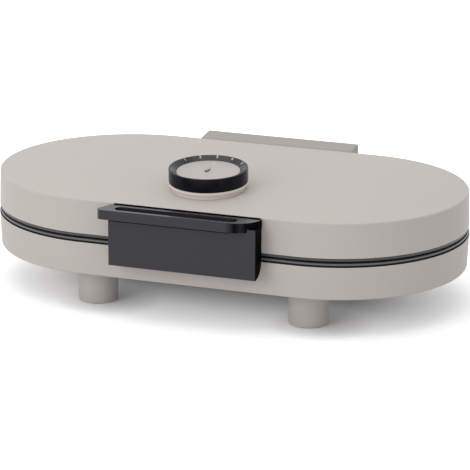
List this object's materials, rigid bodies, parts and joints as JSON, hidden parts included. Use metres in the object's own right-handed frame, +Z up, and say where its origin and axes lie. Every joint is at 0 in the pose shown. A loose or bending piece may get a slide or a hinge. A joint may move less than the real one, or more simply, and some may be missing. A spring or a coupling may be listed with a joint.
{
  "type": "double waffle maker",
  "caption": "Countertop double waffle maker with a long round-ended casing, hinged lid, paired heart-pattern plates, a heat dial and a front grip.",
  "frame": {"origin": "on the standing surface, under the middle of the casing and half way between the grip's front and the hinge's back", "axes": "+Z up, +X along the long side to the right as seen from the grip, -Y towards the grip"},
  "size_m": [0.4306, 0.2796, 0.1283],
  "materials": {
    "body": "satin warm grey, fine paint-like texture",
    "lid_band": "satin dark grey",
    "base_band": "satin mid grey",
    "cooking_plate": "dark non-stick coating on cast aluminium",
    "element": "dull oxidised sheath",
    "shield_sheet": "thin rolled sheet",
    "pad_rubber": "matt black rubber",
    "handle_plastic": "satin charcoal",
    "dial_black": "satin-gloss black, white printed numbers",
    "dial_disc": "pale satin metallic paint",
    "window": "clear orange window",
    "lamp": "small neon lamp",
    "dark_plastic": "plain dark moulding",
    "nylon": "natural nylon",
    "steel": "zinc plated steel"
  },
  "bodies": {
    "base": {"base_shell": "body", "base_bottom_cover": "dark_plastic", "cover_screw_front_left": "steel", "cover_screw_front_right": "steel", "cover_screw_back_left": "steel", "cover_screw_back_right": "steel", "base_plate_frame": "base_band", "waffle_plate_lower_left": "cooking_plate", "waffle_plate_lower_right": "cooking_plate", "heating_element_lower_left": "element", "heating_element_lower_right": "element", "heat_shield_lower": "shield_sheet", "foot_front_left": "body", "foot_front_right": "body", "foot_back_left": "body", "foot_back_right": "body", "foot_pad_front_left": "pad_rubber", "foot_pad_front_right": "pad_rubber", "foot_pad_back_left": "pad_rubber", "foot_pad_back_right": "pad_rubber", "hinge_bracket": "body", "hinge_pin": "steel", "cord_gland": "dark_plastic", "terminal_block": "nylon", "thermal_fuse": "steel"},
    "lid": {"lid_shell": "body", "lid_plate_frame": "lid_band", "waffle_plate_upper_left": "cooking_plate", "waffle_plate_upper_right": "cooking_plate", "heating_element_upper_left": "element", "heating_element_upper_right": "element", "heat_shield_upper": "shield_sheet", "lid_hinge_block": "body", "hinge_bush_left": "nylon", "hinge_bush_right": "nylon", "handle": "handle_plastic", "handle_screw_left": "steel", "handle_screw_right": "steel", "dial_collar": "body", "dial_cap": "dial_disc", "indicator_lens": "window", "indicator_lamp": "lamp", "thermostat_body": "dark_plastic"},
    "dial": {"dial_ring": "dial_black"},
    "spindle": {"dial_pinion": "nylon", "thermostat_spindle": "steel"}
  },
  "joints": [
    {"name": "lid_open", "type": "hinge", "parent": "base", "child": "lid", "pos_m": [0, 0.129, 0.068], "axis": [-1, 0, 0], "range_deg": [0, 95]},
    {"name": "dial_turn", "type": "hinge", "parent": "lid", "child": "dial", "pos_m": [0, -0.0598, 0.10749], "axis": [0, -0.0604, 0.9982], "range_deg": [-54, 54]},
    {"name": "spindle_turn", "type": "hinge", "parent": "lid", "child": "spindle", "pos_m": [0.0162, -0.0598, 0.10749], "axis": [0, -0.0604, 0.9982], "range_deg": [-140, 140]}
  ],
  "couplings": [
    {"joint": "spindle_turn", "follows": "dial_turn", "ratio": 2.5}
  ]
}
